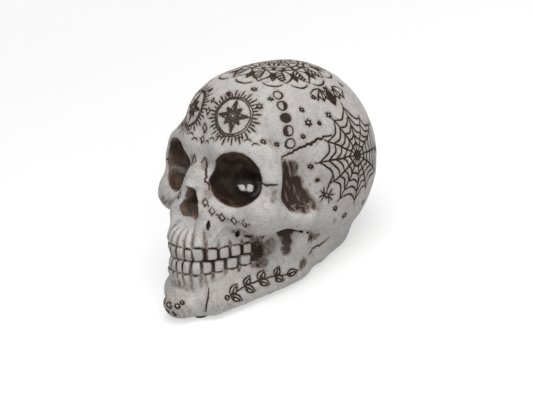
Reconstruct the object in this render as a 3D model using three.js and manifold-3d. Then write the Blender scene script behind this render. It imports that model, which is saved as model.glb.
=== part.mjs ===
// A hollow cast-resin skull ornament: a braincase-and-face casting, a horseshoe jaw casting bonded
// under it, a stopper that closes the pour hole and four stick-on rubber feet.
// Units are millimetres, +Z is up, the face looks along -Y and the feet stand on z = 0.
import * as THREE from "three";
import { mergeVertices } from "three/addons/utils/BufferGeometryUtils.js";
import Module from "manifold-3d";

const wasm = await Module();
wasm.setup();

const { degToRad, clamp, lerp } = THREE.MathUtils;
const vec = (x, y, z) => new THREE.Vector3(x, y, z);
const half = (size) => size / 2;

// Driving dimensions. The skull is laid out level, with x to its left, y to its back and z up, measured
// from the midpoint between the eye sockets. The flat underside is tilted, so that it stands leaning back.
const leanBack = 17;
const undersideDrop = 84.4;

const vaultBreadth = 120;
const vaultLength = 133;
const vaultHeight = 133;
const vaultBack = 67;
const vaultDrop = 1;
const foreheadBreadth = 95;

const socketSpacing = 57;
const socketWidth = 37;
const socketHeight = 36;
const socketDepth = 25;
const socketBack = 3;
const socketTurn = 20;

const noseWidth = 17;
const noseHeight = 21;
const noseDrop = 7;
const noseDepth = 15;
const noseReach = 18;

const cheekBreadth = 108;
const cheekDrop = 21;
const chinReach = 33;
const jawBreadth = 66;

const archFront = 26;
const archRadius = 20;
const archSweep = 68;
const biteDrop = 55.8;
const biteCurve = 0.0055;
const upperToothHeight = 10.5;
const lowerToothHeight = 9.5;
const toothPitches = [7, 6, 8.6, 8.4, 8, 8.2, 7];
const toothSpacing = 0.4;
const toothProud = 2;
const toothRoot = 5;
const toothBevel = 0.8;
const gumThickness = 9;

const wall = 7;
const jawThickness = 14;
const chinThickness = 28;
const seamGap = 0.4;

const pourHoleRadius = 12;
const pourHoleBack = 66;
const stopperClearance = 0.3;
const stopperReach = 6;
const stopperLip = 2;
const stopperLipHeight = 1;

const footRadius = 5;
const footHeight = 2.4;
const footBond = 0.3;
const frontFootX = 10;
const frontFootY = -13;
const rearFootX = 22;
const rearFootY = 86;

// Teeth stand on an arch: a round front and two straight, spreading sides. The bite rises towards the back.
function archAt(distance) {
  const side = Math.sign(distance);
  const sweep = degToRad(archSweep);
  const angle = Math.min(Math.abs(distance) / archRadius, sweep);
  const past = Math.max(Math.abs(distance) - sweep * archRadius, 0);
  return {
    x: side * (archRadius * Math.sin(angle) + past * Math.cos(angle)),
    y: archRadius * (1 - Math.cos(angle)) - archFront + past * Math.sin(angle),
    turn: side * angle,
  };
}

const archLength = toothPitches.reduce((sum, pitch) => sum + pitch);
const biteAt = (y) => -biteDrop + biteCurve * Math.max(y + archFront, 0) ** 2;

// Modelling clay: rounded lumps with a middle and half sizes, and tapering rolls with two ends and two
// thicknesses. Each is melted into the ones before it over its blend distance.
const socketX = half(socketSpacing);
const browZ = half(socketHeight) + 1;
const cheekX = half(cheekBreadth);
const jawX = half(jawBreadth);
const vaultHalf = [half(vaultBreadth), half(vaultLength), half(vaultHeight)];

const braincase = [
  { at: [0, vaultBack, -vaultDrop], half: vaultHalf, blend: 0 },
  { at: [0, 41, 28], half: [half(foreheadBreadth), 41, 33.5], blend: 10 },
  { at: [0, vaultBack, 28 - undersideDrop], half: [41, 40, 21], blend: 14 },
];

const browEnd = [cheekX - 5, 15.5, 1];
const browCorner = [cheekX - 12, 14, browZ - 7];

const brows = [
  { at: [socketX, 18, 0], half: [22, 16, 20], blend: 8 },
  { from: [0, 4, browZ - 7], to: [13, 4, browZ - 3], thick: [6, 6], blend: 12 },
  { from: [13, 4, browZ - 3], to: [30, 9.5, browZ - 2], thick: [6, 5.5], blend: 12 },
  { from: [30, 9.5, browZ - 2], to: browCorner, thick: [5.5, 5.5], blend: 10 },
  { from: browCorner, to: browEnd, thick: [5.5, 5.5], blend: 8 },
];

const cheekFront = [cheekX - 7, 15, -cheekDrop - 3];
const cheekMiddle = [half(vaultBreadth) - 7, 36, -cheekDrop - 5];
const cheekEnd = [half(vaultBreadth) - 12, 62, -cheekDrop - 11];

const cheeks = [
  { from: browEnd, to: [cheekX - 5.5, 11, 4 - cheekDrop], thick: [5.5, 7], blend: 8 },
  { at: [cheekX - 11, 11, -cheekDrop - 1], half: [11, 11, 11], blend: 8 },
  { from: [18, -2, -cheekDrop - 4], to: [cheekX - 13, 7, -cheekDrop - 3], thick: [7, 8], blend: 10 },
  { from: cheekFront, to: cheekMiddle, thick: [7.5, 6.5], blend: 8 },
  { from: cheekMiddle, to: cheekEnd, thick: [6.5, 6], blend: 8 },
];

const nose = [
  { from: [0, 4, 12], to: [0, -10.5, 2 - noseDrop], thick: [4.5, 4], blend: 6 },
  { from: [5, 4, 10], to: [12, -8, -24], thick: [4, 5.5], blend: 8 },
];

function gumRolls(rise) {
  const inset = gumThickness + toothProud;
  const places = [0, 0.25, 0.5, 0.75, 1].map((share) => {
    const seat = archAt(share * archLength);
    const x = seat.x - inset * Math.sin(seat.turn);
    const y = seat.y + inset * Math.cos(seat.turn);
    return [x, y, biteAt(seat.y) + rise];
  });
  const thick = [gumThickness, gumThickness];
  return places.slice(1).map((to, i) => ({ from: places[i], to, thick, blend: 6 }));
}

const chinSide = [jawX - 20, 25 - chinReach, 5 - undersideDrop];
const jawAngle = [jawX - 2, 44, 22 - undersideDrop];
const branchTop = [jawX + 9, 41, -cheekDrop - 22];

const jaws = [
  { at: [0, 5, 19 - biteDrop], half: [21, 25, 20], blend: 12 },
  { from: [13, -8, 26 - biteDrop], to: [16, -6, 15 - biteDrop], thick: [8, 6.5], blend: 8 },
  { at: [0, 20, -biteDrop], half: [22, 36, 26], blend: 10 },
  ...gumRolls(gumThickness),
  ...gumRolls(-gumThickness),
  { at: [0, 20, -undersideDrop], half: [jawX - 3, 40, 24], blend: 10 },
  { at: [0, 14 - chinReach, 3 - undersideDrop], half: [14, 13, 14], blend: 10 },
  { from: chinSide, to: jawAngle, thick: [14, 17], blend: 8 },
  { from: jawAngle, to: branchTop, thick: [17, 9], blend: 6 },
];

const clay = [...braincase, ...brows, ...cheeks, ...nose, ...jaws];
const templeHollow = { at: [half(vaultBreadth) + 2, 32, -3], half: [14, 14, 18], blend: 6 };

function lumpDistance(point, middle, halves) {
  const scale = vec(...halves);
  const unit = point.clone().sub(vec(...middle)).divide(scale);
  const reach = unit.length();
  const slope = unit.divide(scale).length();
  return slope > 0 ? (reach * (reach - 1)) / slope : -Math.min(...halves);
}

function rollDistance(point, from, to, thick) {
  const start = vec(...from);
  const along = vec(...to).sub(start);
  const away = point.clone().sub(start);
  const share = clamp(away.dot(along) / along.lengthSq(), 0, 1);
  return away.addScaledVector(along, -share).length() - lerp(thick[0], thick[1], share);
}

function softMin(a, b, blend) {
  const overlap = blend > 0 ? Math.max(blend - Math.abs(a - b), 0) / blend : 0;
  return Math.min(a, b) - (overlap * overlap * blend) / 4;
}

function clayDistance(point) {
  const folded = vec(Math.abs(point.x), point.y, point.z);
  let distance = Infinity;
  for (const lump of clay) {
    const one = lump.at
      ? lumpDistance(folded, lump.at, lump.half)
      : rollDistance(folded, lump.from, lump.to, lump.thick);
    distance = softMin(distance, one, lump.blend);
  }
  const pressed = lumpDistance(folded, templeHollow.at, templeHollow.half);
  return -softMin(-distance, pressed, templeHollow.blend);
}

// A round net of triangles is drawn in from far out, along lines through a core point, to the clay.
const coreAt = vec(0, 30, -28);
const farReach = 180;
const marchStep = 1.5;
const halvings = 14;
const netSteps = 18;
const frontBias = 0.3;

function clayReach(heading) {
  const isOutside = (reach) => clayDistance(coreAt.clone().addScaledVector(heading, reach)) > 0;
  let inside = farReach;
  while (inside > marchStep && isOutside(inside)) inside -= marchStep;
  let outside = inside + marchStep;
  for (let step = 0; step < halvings; step++) {
    const middle = (inside + outside) / 2;
    if (isOutside(middle)) outside = middle;
    else inside = middle;
  }
  return inside;
}

function clayNet() {
  const ball = new THREE.IcosahedronGeometry(1, netSteps);
  ball.deleteAttribute("normal");
  ball.deleteAttribute("uv");
  const net = mergeVertices(ball, 1e-5);
  const places = net.getAttribute("position");
  for (let i = 0; i < places.count; i++) {
    const heading = vec(0, 0, 0).fromBufferAttribute(places, i);
    heading.y -= frontBias;
    heading.normalize();
    const end = coreAt.clone().addScaledVector(heading, clayReach(heading));
    places.setXYZ(i, end.x, end.y, end.z);
  }
  return net;
}

// Booleans work on solids, and meshes are drawn from geometries.
function solidOf(geometry) {
  const bare = geometry.clone();
  for (const name of Object.keys(bare.attributes)) {
    if (name !== "position") bare.deleteAttribute(name);
  }
  const welded = mergeVertices(bare, 1e-4);
  const vertProperties = new Float32Array(welded.getAttribute("position").array);
  const triVerts = new Uint32Array(welded.index.array);
  return new wasm.Manifold(new wasm.Mesh({ numProp: 3, vertProperties, triVerts }));
}

function geometryOf(solid) {
  const mesh = solid.getMesh();
  const geometry = new THREE.BufferGeometry();
  geometry.setAttribute("position", new THREE.BufferAttribute(mesh.vertProperties, 3));
  geometry.setIndex(new THREE.BufferAttribute(mesh.triVerts, 1));
  return geometry;
}

const joined = (solids) => solids.reduce((all, one) => all.add(one));
const bothSides = (make) => joined([make(1), make(-1)]);

function ellipsoid(middle, halves, turn, around, along) {
  const ball = new THREE.SphereGeometry(1, around, along);
  ball.scale(...halves);
  ball.rotateZ(degToRad(turn));
  ball.translate(...middle);
  return solidOf(ball);
}

// Eye sockets are deep egg-shaped hollows turned outwards.
function socketHollow(side) {
  const halves = [half(socketWidth), socketDepth, half(socketHeight)];
  return ellipsoid([side * socketX, socketBack, 0], halves, side * socketTurn, 30, 20);
}

// The nose opening is an upside-down heart cut straight back from the front.
const noseCut = 40;

function noseOpening() {
  const wide = half(noseWidth);
  const top = -noseDrop;
  const low = top - noseHeight;
  const shoulder = low + noseHeight * 0.25;
  const waist = low + noseHeight * 0.55;
  const outline = new THREE.Shape();
  outline.moveTo(0, top);
  outline.bezierCurveTo(wide * 0.5, top, wide * 0.8, waist, wide, shoulder);
  outline.bezierCurveTo(wide, low - 1, wide * 0.35, low - 1, 0, low + 3);
  outline.bezierCurveTo(-wide * 0.35, low - 1, -wide, low - 1, -wide, shoulder);
  outline.bezierCurveTo(-wide * 0.8, waist, -wide * 0.5, top, 0, top);
  const block = new THREE.ExtrudeGeometry(outline, { depth: noseCut, bevelEnabled: false, curveSegments: 6 });
  block.rotateX(degToRad(90));
  block.translate(0, noseDepth - noseReach, 0);
  return solidOf(block);
}

// Pits under the cheek arch and behind the last teeth.
const biteEnd = 14;
const pocketZ = biteAt(biteEnd) - 2;
const archPit = (side) => ellipsoid([side * (cheekX - 3), 27, -cheekDrop - 22], [8, 5, 10], side * 25, 12, 8);
const molarPocket = (side) => ellipsoid([side * 35, biteEnd + 3, pocketZ], [9, 4.5, 8], side * 30, 12, 8);

// A tooth reaches past the bite and is trimmed there together with the gums.
const bitePast = 1.5;

function tooth(pitch, height, seat, up) {
  const edge = half(pitch - toothSpacing);
  const neck = edge * 0.8;
  const crown = new THREE.Shape();
  crown.moveTo(-edge, -bitePast);
  crown.lineTo(edge, -bitePast);
  crown.lineTo(edge, height * 0.35);
  crown.quadraticCurveTo(neck, height, 0, height);
  crown.quadraticCurveTo(-neck, height, -edge, height * 0.35);
  const block = new THREE.ExtrudeGeometry(crown, {
    depth: toothRoot,
    bevelThickness: toothBevel,
    bevelSize: toothBevel,
    bevelOffset: -toothBevel,
    bevelSegments: 1,
    curveSegments: 3,
  });
  block.translate(0, 0, -toothRoot - toothBevel);
  block.rotateX(degToRad(90));
  if (!up) block.rotateY(degToRad(180));
  block.rotateZ(seat.turn);
  block.translate(seat.x, seat.y, biteAt(seat.y));
  return solidOf(block);
}

function toothRow(height, up) {
  const row = [];
  for (const side of [1, -1]) {
    let along = 0;
    for (const pitch of toothPitches) {
      row.push(tooth(pitch, height, archAt(side * (along + half(pitch))), up));
      along += pitch;
    }
  }
  return joined(row);
}

// The underside: its height under a place, and a way to set a piece on it.
const lean = degToRad(leanBack);
const blockSize = 400;
const undersideAt = (y) => -undersideDrop + Math.tan(lean) * y;

function onUnderside(geometry, x, y) {
  return geometry.rotateX(lean).translate(x, y, undersideAt(y));
}

function belowUnderside() {
  const block = new THREE.BoxGeometry(blockSize, blockSize, blockSize);
  block.translate(0, 0, -half(blockSize));
  return solidOf(onUnderside(block, 0, 0));
}

// The jaw casting fills a side outline, along the bite, up the branch and down behind it, outside a tongue.
const point = (x, y) => new THREE.Vector2(x, y);
const branchFront = 31;
const branchBack = 53;
const tongueCorner = 6;
const tongueSpread = 10;

function grownOutline(points, by) {
  return points.map((corner, i) => {
    const before = points[(i + points.length - 1) % points.length];
    const after = points[(i + 1) % points.length];
    const into = corner.clone().sub(before).normalize();
    const out = after.clone().sub(corner).normalize();
    const bend = point(into.y + out.y, -into.x - out.x);
    return corner.clone().addScaledVector(bend, by / (1 + into.dot(out)));
  });
}

function prism(points) {
  const block = new THREE.ExtrudeGeometry(new THREE.Shape(points), { depth: blockSize, bevelEnabled: false });
  return block.translate(0, 0, -half(blockSize));
}

function jawSide() {
  const far = half(blockSize);
  const top = -cheekDrop - 14;
  return [
    point(branchBack + 1, -far),
    point(branchBack, top - 27),
    point(branchBack, top - 11),
    point(branchBack - 6, top - 1),
    point(branchFront, top),
    point(branchFront - 5, top - 5),
    point(biteEnd + 8, biteAt(biteEnd) + 1),
    ...[biteEnd, 4, -8, -archFront].map((y) => point(y, biteAt(y))),
    point(-far, biteAt(-archFront)),
    point(-far, -far),
  ];
}

function tongue() {
  const far = half(blockSize);
  const front = chinThickness - chinReach;
  const wide = jawX - jawThickness;
  return [
    point(wide, front + tongueCorner),
    point(wide + tongueSpread, far),
    point(-wide - tongueSpread, far),
    point(-wide, front + tongueCorner),
    point(tongueCorner - wide, front),
    point(wide - tongueCorner, front),
  ];
}

function jawSpace(grow) {
  const side = prism(grownOutline(jawSide(), grow)).rotateX(degToRad(90)).rotateZ(degToRad(90));
  return solidOf(side).subtract(solidOf(prism(grownOutline(tongue(), -grow))));
}

// The hollow is an egg inside the braincase, behind the sockets, opened by the pour hole.
const sideWall = wall + 2;
const hollowFront = socketBack + socketDepth + wall;
const hollowBack = vaultBack + half(vaultLength) - wall;
const hollowY = half(hollowFront + hollowBack);
const hollowTop = half(vaultHeight) - vaultDrop - wall;
const hollowLow = undersideAt(hollowY) + wall;
const hollowZ = half(hollowTop + hollowLow);

function hollow() {
  const halves = [half(vaultBreadth) - sideWall, half(hollowBack - hollowFront), half(hollowTop - hollowLow)];
  return ellipsoid([0, hollowY, hollowZ], halves, 0, 24, 16);
}

const roundSteps = 32;

function upright(radius, from, to) {
  const rod = new THREE.CylinderGeometry(radius, radius, to - from, roundSteps);
  return rod.rotateX(degToRad(90)).translate(0, 0, half(from + to));
}

function pourHole() {
  const rise = half(hollowZ - undersideAt(pourHoleBack));
  return solidOf(onUnderside(upright(pourHoleRadius, -1, rise), 0, pourHoleBack));
}

// Materials and meshes.
const resin = new THREE.MeshStandardMaterial({ color: 0xb9b5b1, roughness: 0.55, metalness: 0 });
const stopperRubber = new THREE.MeshStandardMaterial({ color: 0x3a3533, roughness: 0.8, metalness: 0 });
const footRubber = new THREE.MeshStandardMaterial({ color: 0x262423, roughness: 0.85, metalness: 0 });

const leaning = new THREE.Group();

function addMesh(name, geometry, material) {
  const mesh = new THREE.Mesh(geometry, material);
  mesh.name = name;
  leaning.add(mesh);
}

function addCastings() {
  const pits = joined([bothSides(archPit), bothSides(molarPocket)]);
  const carved = joined([bothSides(socketHollow), noseOpening(), pits, belowUnderside()]);
  const head = solidOf(clayNet()).subtract(carved);
  const upper = head.add(toothRow(upperToothHeight, true)).subtract(jawSpace(seamGap));
  const lower = head.add(toothRow(lowerToothHeight, false)).intersect(jawSpace(0));
  addMesh("cranium_casting", geometryOf(upper.subtract(hollow()).subtract(pourHole())), resin);
  addMesh("jaw_casting", geometryOf(lower), resin);
}

function addStopper() {
  const low = -footBond - stopperLipHeight;
  const body = solidOf(upright(pourHoleRadius - stopperClearance, low, stopperReach));
  const lip = solidOf(upright(pourHoleRadius + stopperLip, low, -footBond));
  addMesh("base_plug", onUnderside(geometryOf(body.add(lip)), 0, pourHoleBack), stopperRubber);
}

function addFoot(name, x, y) {
  const foot = upright(footRadius, -footBond - footHeight, -footBond);
  addMesh(`rubber_foot_${name}`, onUnderside(foot, x, y), footRubber);
}

addCastings();
addStopper();
addFoot("front_left", frontFootX, frontFootY);
addFoot("front_right", -frontFootX, frontFootY);
addFoot("rear_left", rearFootX, rearFootY);
addFoot("rear_right", -rearFootX, rearFootY);

// Tip the level skull back onto its feet, and put the origin at the middle of its box, on the ground.
leaning.rotation.x = -lean;
const skull = new THREE.Group();
skull.add(leaning);
skull.updateMatrixWorld(true);
const box = new THREE.Box3().setFromObject(skull, true);
const middle = box.getCenter(vec(0, 0, 0));
leaning.position.set(-middle.x, -middle.y, -box.min.z);

export default skull;
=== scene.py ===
# A hollow cast-resin skull ornament, dressed over its CAD solids: two castings with carved lines and an
# umber wash, two rows of teeth, the stopper and four rubber feet.
import math
from contextlib import contextmanager

import bpy
import numpy as np
from mathutils import Matrix, Vector, kdtree, noise
from mathutils.bvhtree import BVHTree


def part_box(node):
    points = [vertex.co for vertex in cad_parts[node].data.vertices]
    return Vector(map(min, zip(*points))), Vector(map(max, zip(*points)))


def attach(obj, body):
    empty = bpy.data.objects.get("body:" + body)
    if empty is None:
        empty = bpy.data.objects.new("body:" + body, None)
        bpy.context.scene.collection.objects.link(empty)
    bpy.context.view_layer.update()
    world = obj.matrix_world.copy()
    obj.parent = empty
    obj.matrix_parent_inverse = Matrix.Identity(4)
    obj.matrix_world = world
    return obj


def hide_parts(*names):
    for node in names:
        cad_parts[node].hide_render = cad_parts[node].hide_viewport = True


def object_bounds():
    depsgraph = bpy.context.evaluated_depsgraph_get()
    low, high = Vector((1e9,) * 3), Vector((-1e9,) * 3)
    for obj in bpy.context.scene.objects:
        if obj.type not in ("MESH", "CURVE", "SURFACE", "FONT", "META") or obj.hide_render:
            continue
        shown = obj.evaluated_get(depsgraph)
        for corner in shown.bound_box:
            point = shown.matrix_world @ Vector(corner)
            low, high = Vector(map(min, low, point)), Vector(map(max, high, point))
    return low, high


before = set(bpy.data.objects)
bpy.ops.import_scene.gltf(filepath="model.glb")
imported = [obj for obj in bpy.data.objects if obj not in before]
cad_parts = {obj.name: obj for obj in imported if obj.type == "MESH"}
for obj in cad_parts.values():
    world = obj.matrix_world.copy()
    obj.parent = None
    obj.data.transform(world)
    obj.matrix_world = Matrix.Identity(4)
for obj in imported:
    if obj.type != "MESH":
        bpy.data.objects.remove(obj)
cad_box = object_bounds()

# The skull is measured level, in millimetres from midway between its eye sockets, with x to its left,
# y to its back and z up. It stands on the table leaning back.
MM = 0.001
LEAN = math.radians(17)
EYES_MIDDLE = np.array([0.0, -37.64, 83.41])
TIP = np.array([
    [1, 0, 0],
    [0, math.cos(LEAN), math.sin(LEAN)],
    [0, -math.sin(LEAN), math.cos(LEAN)],
])
LEFT_AND_RIGHT = (1, -1)
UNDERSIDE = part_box("cranium_casting")[0].z / MM
TINY = 1e-9
FAR_AWAY = 1e3

# The solid's inner hollow and pour hole.
HOLLOW_MIDDLE = (0, 80.75, 2.9)
HOLLOW_HALF = (51, 45.75, 55.6)
POUR_HOLE_RADIUS = 12

# The arch that the teeth stand on, and each tooth's size from the middle to the back.
ARCH_FRONT = 26
ARCH_RADIUS = 20
ARCH_SWEEP = math.radians(68)
BITE_DROP = 53.8
BITE_CURVE = 0.002
GUM_THICKNESS = 9
GUM_BLEND = 6
GUM_ROLL_ENDS = (0, 0.25, 0.5, 0.75, 1)
TOOTH_PROUD = 2
UPPER_CROWNS = (9, 8.8, 9.6, 9, 8.6, 8, 7.2)
LOWER_CROWNS = (8.3, 8.3, 8.8, 8.2, 8, 7.4, 6.8)
UPPER_PITCHES = (7, 6, 8.6, 8.4, 8, 8.2, 7)
LOWER_PITCHES = (5.6, 6.2, 7.2, 7.6, 8.4, 9.2, 9)
UPPER_PROUD = (0, 0, 0.4, 1.6, 1.5, 1.1, 0.7)
LOWER_PROUD = (0, 0, 0, 0.2, 0.3, 0.3, 0.2)


def on_table(points):
    """Points of the level skull, in millimetres, as metres on the table."""
    return (np.asarray(points, float) @ TIP.T + EYES_MIDDLE) * MM


def on_skull(points):
    """Metres on the table, as millimetres of the level skull."""
    return (np.asarray(points, float) / MM - EYES_MIDDLE) @ TIP


def arch_seat(distance):
    """The place on the tooth arch that far from its middle, and which way a tooth there faces."""
    side = math.copysign(1, distance)
    angle = min(abs(distance) / ARCH_RADIUS, ARCH_SWEEP)
    past = max(abs(distance) - ARCH_SWEEP * ARCH_RADIUS, 0)
    x = side * (ARCH_RADIUS * math.sin(angle) + past * math.cos(angle))
    y = ARCH_RADIUS * (1 - math.cos(angle)) - ARCH_FRONT + past * math.sin(angle)
    return x, y, side * angle


def bite_height(y):
    """Height of the bite line at a distance back."""
    return -BITE_DROP + BITE_CURVE * np.maximum(y + ARCH_FRONT, 0) ** 2


def smoothstep(low, high, value):
    share = np.clip((np.asarray(value, float) - low) / (high - low), 0, 1)
    return share * share * (3 - 2 * share)


# Placing, selecting, shaping and painting meshes.
SETTLE_PASSES = 2


def add_to_scene(name, data):
    made = bpy.data.objects.new(name, data)
    bpy.context.scene.collection.objects.link(made)
    return made


def select_only(piece):
    bpy.ops.object.select_all(action="DESELECT")
    piece.select_set(True)
    bpy.context.view_layer.objects.active = piece


@contextmanager
def editing(piece):
    select_only(piece)
    bpy.ops.object.mode_set(mode="EDIT")
    yield
    bpy.ops.object.mode_set(mode="OBJECT")


def select_parts(mesh, kind, chosen):
    """Selects some of a mesh's vertices or polygons and nothing else."""
    for other in ("vertices", "edges", "polygons"):
        parts = getattr(mesh, other)
        parts.foreach_set("select", chosen if other == kind else np.zeros(len(parts), bool))
    bpy.context.tool_settings.mesh_select_mode = (kind == "vertices", False, kind == "polygons")


def add_modifier(piece, kind, **settings):
    select_only(piece)
    modifier = piece.modifiers.new(kind.lower(), kind)
    for name, value in settings.items():
        setattr(modifier, name, value)
    bpy.ops.object.modifier_apply(modifier=modifier.name)


def read_points(mesh, name="co"):
    values = np.empty(len(mesh.vertices) * 3)
    mesh.vertices.foreach_get(name, values)
    return values.reshape(-1, 3)


def set_points(mesh, points):
    mesh.vertices.foreach_set("co", np.ascontiguousarray(points).ravel())
    mesh.update()


def push_out(mesh, distance):
    """Moves each point along its normal by so many millimetres."""
    set_points(mesh, read_points(mesh) + read_points(mesh, "normal") * distance[:, None] * MM)


def paint(mesh, name, values):
    attribute = mesh.attributes.get(name) or mesh.attributes.new(name, "FLOAT", "POINT")
    attribute.data.foreach_set("value", np.asarray(values, np.float32))


def painted(mesh, name):
    values = np.empty(len(mesh.vertices), np.float32)
    mesh.attributes[name].data.foreach_get("value", values)
    return values


def edge_ends(mesh):
    ends = np.empty(len(mesh.edges) * 2, np.int32)
    mesh.edges.foreach_get("vertices", ends)
    one, other = ends.reshape(-1, 2).T
    return np.concatenate([one, other]), np.concatenate([other, one])


def neighbour_mean(ends, values):
    start, finish = ends
    count = np.maximum(np.bincount(start, minlength=len(values)), 1)
    flat = values.reshape(len(values), -1)
    sums = [np.bincount(start, weights=column[finish], minlength=len(values)) for column in flat.T]
    return (np.stack(sums, -1) / count[:, None]).reshape(values.shape)


def relax(mesh, passes):
    """Smooths a mesh without shrinking it."""
    ease = 0.5
    swell = 0.52
    ends = edge_ends(mesh)
    points = read_points(mesh)
    for _ in range(passes):
        points += ease * (neighbour_mean(ends, points) - points)
        points -= swell * (neighbour_mean(ends, points) - points)
    set_points(mesh, points)


def noise_at(points, grain, layer=0):
    return np.array([noise.noise(Vector(point * grain + layer)) for point in points])


def refine(piece, near):
    """Cuts each face that has a near point into four."""
    mesh = piece.data
    chosen = [bool(near[list(face.vertices)].any()) for face in mesh.polygons]
    select_parts(mesh, "polygons", chosen)
    with editing(piece):
        bpy.ops.mesh.subdivide(number_cuts=1)
    relax(mesh, SETTLE_PASSES)


# The clay that the castings were sculpted in: rounded lumps with a middle and half sizes, and tapering
# rolls with two ends and two thicknesses, each melted into the ones before it over a blend distance.
def lump(points, middle, halves):
    scale = np.array(halves, float)
    unit = (points - np.array(middle)) / scale
    reach = np.linalg.norm(unit, axis=1)
    slope = np.linalg.norm(unit / scale, axis=1)
    return reach * (reach - 1) / np.maximum(slope, TINY)


def roll(points, start, end, thick):
    along = np.subtract(end, start)
    away = points - np.array(start)
    share = np.clip(away @ along / (along @ along), 0, 1)
    return np.linalg.norm(away - share[:, None] * along, axis=1) - np.interp(share, [0, 1], thick)


def soft_min(one, other, blend):
    overlap = np.maximum(blend - np.abs(one - other), 0) / max(blend, TINY)
    return np.minimum(one, other) - overlap * overlap * blend / 4


def chain(places, thick, blend):
    """Rolls of one thickness, end to end."""
    return [(roll, (start, end, (thick, thick)), blend) for start, end in zip(places, places[1:])]


def gum_rolls(rise):
    """Rolls end to end behind one row of teeth, that far above the bite."""
    inset = GUM_THICKNESS + TOOTH_PROUD
    places = []
    for share in GUM_ROLL_ENDS:
        x, y, turn = arch_seat(share * sum(UPPER_PITCHES))
        places.append((x - inset * math.sin(turn), y + inset * math.cos(turn), bite_height(y) + rise))
    return chain(places, GUM_THICKNESS, GUM_BLEND)


CLAY = [
    # Braincase, forehead and the base under them.
    (lump, ((0, 67, -1), (60, 66.5, 66.5)), 0),
    (lump, ((0, 41, 28), (47.5, 41, 33.5)), 10),
    (lump, ((0, 67, -55), (38.5, 38, 20)), 14),
    (lump, ((0, 78, -51), (37.5, 32, 13)), 8),
    (lump, ((0, 62, -60), (43, 20, 14)), 6),
    (lump, ((28.5, 18, 0), (22, 16, 20)), 8),
    # Brow, and the outer rim of the socket.
    (roll, ((0, 4, 12), (13, 4, 16), (6, 6)), 12),
    (roll, ((13, 4, 16), (30, 9.5, 17), (6, 5.5)), 12),
    (roll, ((30, 9.5, 17), (42, 14, 12), (5.5, 5.5)), 10),
    (roll, ((42, 14, 12), (47.8, 14.5, 1), (5.5, 5)), 8),
    (roll, ((47.8, 14.5, 1), (48, 11, -17), (4.4, 6.3)), 8),
    # Cheekbone, the lower rim of the socket and the cheek arch.
    (lump, ((43, 11, -22), (11, 11, 11)), 8),
    (roll, ((18, -2, -25), (41, 7, -24), (7, 8)), 10),
    (roll, ((47, 15, -24), (53, 36, -26), (7.5, 6.5)), 8),
    (roll, ((53, 36, -26), (48, 62, -32), (6.5, 6)), 8),
    # Bridge, tip and sides of the nose.
    (roll, ((0, 4, 12), (0, -4.5, 0), (4.5, 4)), 6),
    (roll, ((0, -5, 0.5), (0, -11.8, -6.6), (4, 4.5)), 5),
    (roll, ((5, 5, 10), (6.5, -3, -4), (3.6, 4)), 8),
    (roll, ((6.5, -3, -4), (11, -6.5, -22), (4, 4.6)), 8),
    (roll, ((3, -12.2, -11.5), (8.2, -7, -22), (4, 4.2)), 4),
    # Inner rim of the socket.
    *chain([(9.8, -4.5, -7), (12, -4.5, -13.5), (17.3, -4, -18.8), (26.2, -3, -21.3)], 4, 5),
    # Upper jaw and the bone behind the teeth.
    (lump, ((0, 5, -36.8), (21, 25, 20)), 12),
    (roll, ((13, -8, -29.8), (16, -6, -40.8), (8, 6.5)), 8),
    (lump, ((0, 20, -55.8), (22, 36, 26)), 10),
    *gum_rolls(GUM_THICKNESS),
    *gum_rolls(-GUM_THICKNESS),
    # Lower jaw: its middle, chin, lower edge and branch.
    (lump, ((0, 20, -84.4), (30, 40, 24)), 10),
    (lump, ((0, -19.5, -84.5), (14, 13, 10)), 8),
    (roll, ((15.5, -6, -80.5), (30.5, 41.5, -62), (12.6, 14)), 8),
    (roll, ((19, -6, -82), (36, 30, -69), (8, 8)), 8),
    (roll, ((31, 43, -61.5), (42, 41, -43), (15.5, 9)), 6),
]

# Hollows cut into the clay, each with its middle, half sizes, turn and tip in degrees, and the softness of
# its rim. The solid's sockets run level, and their skin moves by up to the shift to the tipped bowl.
CAST_SOCKET = ((28.5, 3, 0), (18.5, 25, 18), 20)
SOCKET_SKIN = 2
SOCKET_SHIFT = 14
SOCKET = ((32, -7.5, 2.5), (19.3, 32, 16.7), 20, 25)
HOLLOWS = [
    # Temple.
    (((62, 32, -3), (14, 14, 18), 0), 6),
    (((57, 27, -3), (9.5, 9, 18), -8), 2),
    (((61, 45, -9), (8, 14, 9.5), -5), 3),
    (SOCKET, 1.8),
    # Pockets before and behind the jaw's branch.
    (((43.5, 29, -41), (9, 5, 12), 25), 2),
    (((35, 17, -49), (9, 4.5, 8), 30), 3),
    (((51, 48, -44), (6, 4, 7), -20), 2),
    (((50.5, 42, -58), (5, 3.5, 6), -20), 2),
    # Above the chin, and under the nose.
    (((0, -38.2, -71), (22, 9, 8), 0), 6),
    (((0, -22, -26.5), (16, 9, 8), 0), 5),
]

# Ridges built up again inside the hollows.
RIDGES = [
    (((44, 24, -33), (38, 27, -44), (2.6, 2.6)), 3),
    (((38, 27, -44), (37.5, 21, -60), (2.6, 4)), 4),
]

# The nose opening: half its outline as two rolls seen from the front, its floor and back end, the softness
# of its rim, how far and how widely the skin round its top is drawn forward, and where its walls begin.
NOSE_SLOPE = ((0.6, 0, -9.8), (4.7, 0, -23.4), (2.9, 4.6))
NOSE_SILL = ((0, 0, -22.6), (4.7, 0, -23.4), (3.9, 4.6))
NOSE_FLOOR = -3
NOSE_END = 15
NOSE_RIM = 1.5
NOSE_TOP = (0, -10.5)
NOSE_PULL = 5
NOSE_PULL_WIDTH = 13
NOSE_WALL = (-2.5, -1)


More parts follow.
